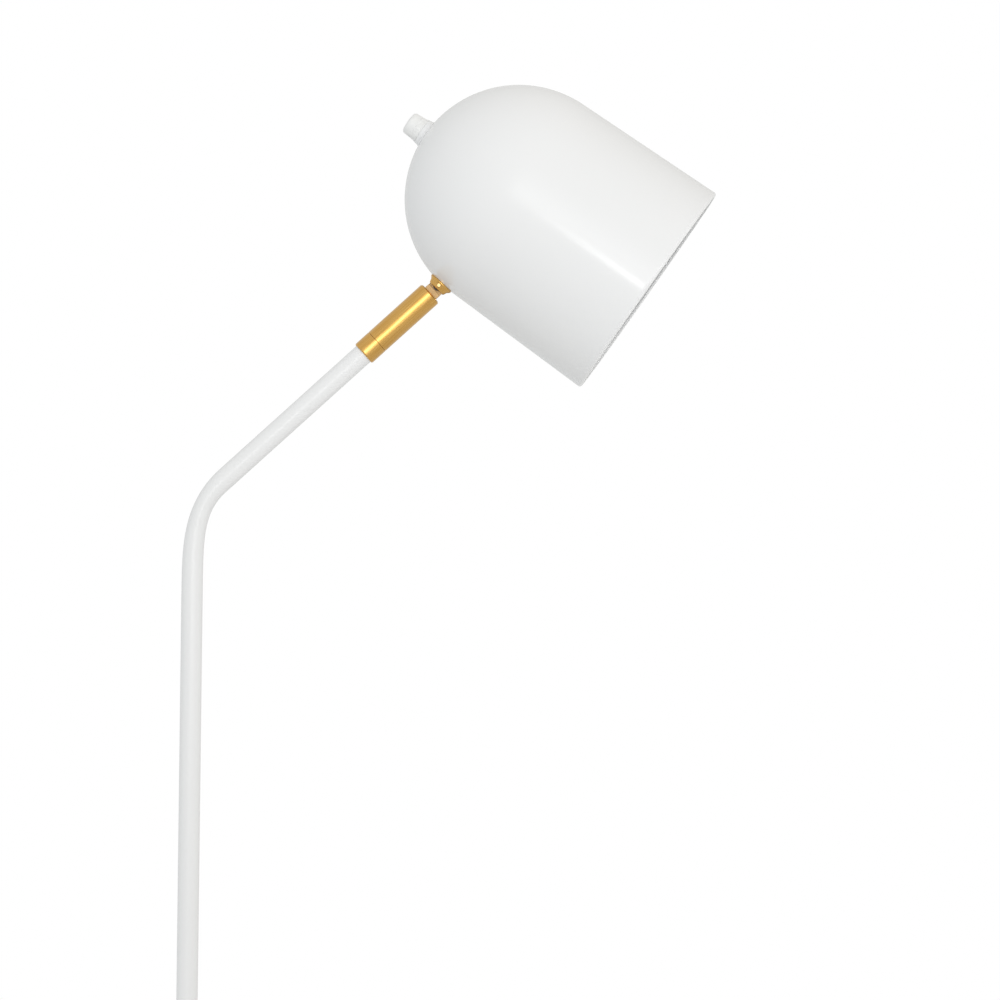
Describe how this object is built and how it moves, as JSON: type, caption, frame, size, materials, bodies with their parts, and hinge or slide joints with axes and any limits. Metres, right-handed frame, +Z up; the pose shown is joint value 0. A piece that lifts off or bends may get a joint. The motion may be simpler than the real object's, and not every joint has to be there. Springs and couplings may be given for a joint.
{
  "type": "floor lamp",
  "caption": "Floor lamp with a weighted round base, a bent tube stem, a swivelling brass sleeve and a tilting dome shade with a turn switch at its apex.",
  "frame": {"origin": "centre of the base's underside, on the floor", "axes": "+Z up the stem, +X the way the arm leans, +Y to the back of the lamp as the picture is taken"},
  "size_m": [0.4565, 0.25, 1.5002],
  "materials": {
    "white_enamel": "satin white powder coat, soft gloss",
    "brass": "brushed satin brass with fine turning lines",
    "cast_iron": "raw cast iron, coarse grain",
    "zinc_steel": "zinc-plated steel",
    "bulb_aluminium": "rolled aluminium screw cap",
    "felt": "black felt",
    "rubber": "matt black rubber",
    "nylon": "natural nylon",
    "black_plastic": "moulded black phenolic",
    "white_plastic": "moulded white plastic, satin",
    "lead_insulation": "twisted pair in pale insulation",
    "opal_plastic": "opal diffuser, softly frosted"
  },
  "bodies": {
    "stand": {"base_pad": "felt", "base_weight": "cast_iron", "base_cover": "white_enamel", "cord_gland": "rubber", "base_nipple": "zinc_steel", "base_washer": "zinc_steel", "base_lock_washer": "zinc_steel", "base_nut": "zinc_steel", "terminal_block": "white_plastic", "earth_screw": "brass", "stem_foot": "white_enamel", "lower_stem": "white_enamel", "foot_bush": "brass", "coupler_socket": "brass", "coupler_bush": "brass", "coupler_stud": "brass", "arm_tube": "white_enamel", "arm_end_bush": "brass", "sleeve_ring": "brass", "swivel_friction_washer": "nylon", "swivel_spring_washer": "zinc_steel", "swivel_spindle": "brass", "stem_leads": "lead_insulation"},
    "sleeve": {"swivel_sleeve": "brass", "knuckle_tongue": "brass", "sleeve_leads": "lead_insulation"},
    "head": {"knuckle_collar": "brass", "knuckle_pin": "brass", "knuckle_washer_front": "nylon", "knuckle_washer_back": "nylon", "collar_washer": "zinc_steel", "collar_nut": "brass", "shade": "white_enamel", "switch_ring_nut": "white_enamel", "apex_spacer": "nylon", "switch_housing": "black_plastic", "holder_cup": "white_enamel", "lampholder_body": "black_plastic", "lampholder_ring": "black_plastic", "lampholder_shell": "brass", "lampholder_contact": "brass", "bulb_cap": "bulb_aluminium", "bulb_neck": "white_plastic", "bulb_globe": "opal_plastic", "head_leads": "lead_insulation"},
    "knob": {"switch_knob": "white_plastic", "switch_spindle": "zinc_steel"}
  },
  "joints": [
    {"name": "sleeve_swivel", "type": "hinge", "parent": "stand", "child": "sleeve", "pos_m": [0.11538, 0, 1.33647], "axis": [0.7349, 0, 0.6782], "range_deg": [-170, 170]},
    {"name": "head_tilt", "type": "hinge", "parent": "sleeve", "child": "head", "pos_m": [0.15422, 0, 1.37231], "axis": [0, 1, 0], "range_deg": [-40, 50]},
    {"name": "knob_turn", "type": "hinge", "parent": "head", "child": "knob", "pos_m": [0.14472, 0, 1.46892], "axis": [-0.8231, 0, 0.5678], "continuous": true}
  ]
}
